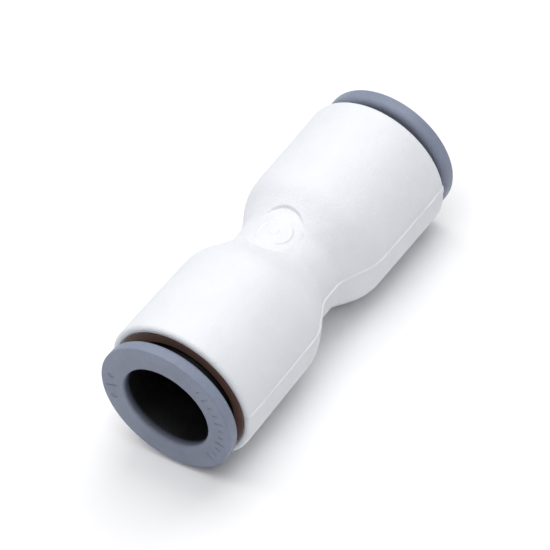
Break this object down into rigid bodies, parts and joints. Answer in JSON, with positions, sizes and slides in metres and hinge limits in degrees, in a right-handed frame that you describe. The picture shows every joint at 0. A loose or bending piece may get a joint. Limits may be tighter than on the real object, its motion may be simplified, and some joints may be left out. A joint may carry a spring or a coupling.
{
  "type": "push fit coupling",
  "caption": "In-line tube coupling with a push-in socket at each end; each grey collet slides in to let the tube go.",
  "frame": {"origin": "middle of the coupling, on the axis the two tubes share", "axes": "+X along the tube axis out of the right socket, +Z out through the middle of the round pad on the waist, +Y across"},
  "size_m": [0.0406, 0.0164, 0.0162],
  "materials": {
    "body_white": "satin moulded acetal",
    "collet_grey": "satin moulded acetal",
    "cartridge_brown": "satin moulded acetal",
    "seal_rubber": "lubricated rubber",
    "spacer_natural": "satin natural acetal",
    "tooth_steel": "stamped stainless spring steel"
  },
  "bodies": {
    "housing": {"body": "body_white", "left_cartridge": "cartridge_brown", "left_seal": "seal_rubber", "right_cartridge": "cartridge_brown", "right_seal": "seal_rubber"},
    "left_ring": {"left_spacer": "spacer_natural"},
    "left_button": {"left_collet": "collet_grey", "left_tooth_1": "tooth_steel", "left_tooth_2": "tooth_steel", "left_tooth_3": "tooth_steel", "left_tooth_4": "tooth_steel", "left_tooth_5": "tooth_steel", "left_tooth_6": "tooth_steel"},
    "right_ring": {"right_spacer": "spacer_natural"},
    "right_button": {"right_collet": "collet_grey", "right_tooth_1": "tooth_steel", "right_tooth_2": "tooth_steel", "right_tooth_3": "tooth_steel", "right_tooth_4": "tooth_steel", "right_tooth_5": "tooth_steel", "right_tooth_6": "tooth_steel"}
  },
  "joints": [
    {"name": "left_turn", "type": "hinge", "parent": "housing", "child": "left_ring", "pos_m": [-0.009, 0, 0], "axis": [-1, 0, 0], "continuous": true},
    {"name": "left_push", "type": "slide", "parent": "left_ring", "child": "left_button", "axis": [1, 0, 0], "range_m": [0, 0.00085]},
    {"name": "right_turn", "type": "hinge", "parent": "housing", "child": "right_ring", "pos_m": [0.009, 0, 0], "axis": [1, 0, 0], "continuous": true},
    {"name": "right_push", "type": "slide", "parent": "right_ring", "child": "right_button", "axis": [-1, 0, 0], "range_m": [0, 0.00085]}
  ]
}
